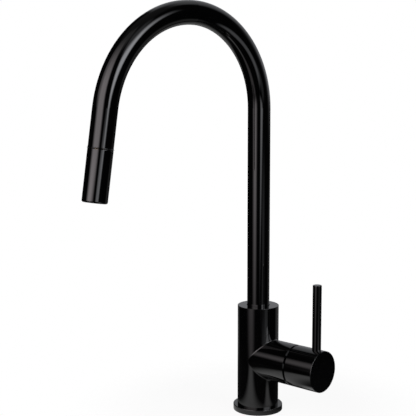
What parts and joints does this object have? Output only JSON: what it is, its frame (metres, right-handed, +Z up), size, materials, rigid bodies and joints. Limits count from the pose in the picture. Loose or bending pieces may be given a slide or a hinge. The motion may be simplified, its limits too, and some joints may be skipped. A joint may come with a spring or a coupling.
{
  "type": "kitchen mixer tap",
  "caption": "Side-lever kitchen mixer tap with a tall swivelling arched spout and a slim cylindrical spray head that pulls down on a hose.",
  "frame": {"origin": "centre of the base flange's underside, on the worktop's top face", "axes": "+Z up the body; +X along the handle branch; the spout reaches towards -Y"},
  "size_m": [0.1137, 0.2403, 0.4884],
  "materials": {
    "gloss_black": "gloss black plated finish",
    "brass": "machined",
    "steel": "plain",
    "rubber": "matt",
    "nylon": "moulded",
    "black_plastic": "moulded",
    "ceramic": "lapped",
    "hose_braid": "braided nylon over rubber"
  },
  "bodies": {
    "mixer": {"base_flange": "gloss_black", "base_gasket": "rubber", "mixer_body": "gloss_black", "threaded_shank": "brass", "deck_washer": "rubber", "backing_washer": "steel", "mounting_nut": "brass", "jack_screws": "steel", "cartridge_base": "nylon", "port_seals": "rubber", "fixed_disc": "ceramic", "cartridge_housing": "nylon", "cartridge_nut": "brass", "thrust_washer": "nylon", "stop_screw": "steel"},
    "carrier": {"cartridge_carrier": "nylon", "stem_pivot_pin": "steel"},
    "shuttle": {"moving_disc": "ceramic", "disc_coupler": "nylon"},
    "lever": {"cartridge_stem": "brass", "handle_hub": "gloss_black", "lever_pin": "gloss_black", "hub_grub_screw": "steel", "hub_plug": "black_plastic"},
    "spout": {"spout_tube": "gloss_black", "spout_foot": "brass", "swivel_rings": "nylon", "swivel_seal": "rubber", "dock_collar": "gloss_black", "dock_magnet": "steel", "spray_hose": "hose_braid", "hose_tail_nut": "brass"},
    "hose_end": {"hose_connector": "brass", "connector_seal": "rubber"},
    "head": {"head_shell": "gloss_black", "head_core": "nylon", "check_valve": "nylon", "aerator_housing": "black_plastic", "jet_plate": "black_plastic", "aerator_screen": "steel", "aerator_seal": "rubber"}
  },
  "joints": [
    {"name": "spout_swivel", "type": "hinge", "parent": "mixer", "child": "spout", "pos_m": [0, 0, 0.09], "axis": [0, 0, 1], "range_deg": [-55.7, 64.3]},
    {"name": "handle_turn", "type": "hinge", "parent": "mixer", "child": "carrier", "pos_m": [0.036, 0, 0.0545], "axis": [1, 0, 0], "range_deg": [-45, 45]},
    {"name": "handle_lift", "type": "hinge", "parent": "carrier", "child": "lever", "pos_m": [0.036, 0, 0.0545], "axis": [0, 1, 0], "range_deg": [0, 20]},
    {"name": "disc_shift", "type": "slide", "parent": "carrier", "child": "shuttle", "axis": [0, 0, 1], "range_m": [0, 0.0016]},
    {"name": "head_pull", "type": "slide", "parent": "spout", "child": "hose_end", "axis": [-0.0119, -0.1584, -0.9873], "range_m": [0, 0.4], "stiffness_N_per_m": 6, "springref_m": -0.5, "deforming": ["spray_hose"]},
    {"name": "head_spin", "type": "hinge", "parent": "hose_end", "child": "head", "pos_m": [-0.01459, -0.19408, 0.27565], "axis": [-0.0119, -0.1584, -0.9873], "continuous": true}
  ],
  "couplings": [
    {"joint": "disc_shift", "follows": "handle_lift", "m_per_rad": 0.0045}
  ]
}
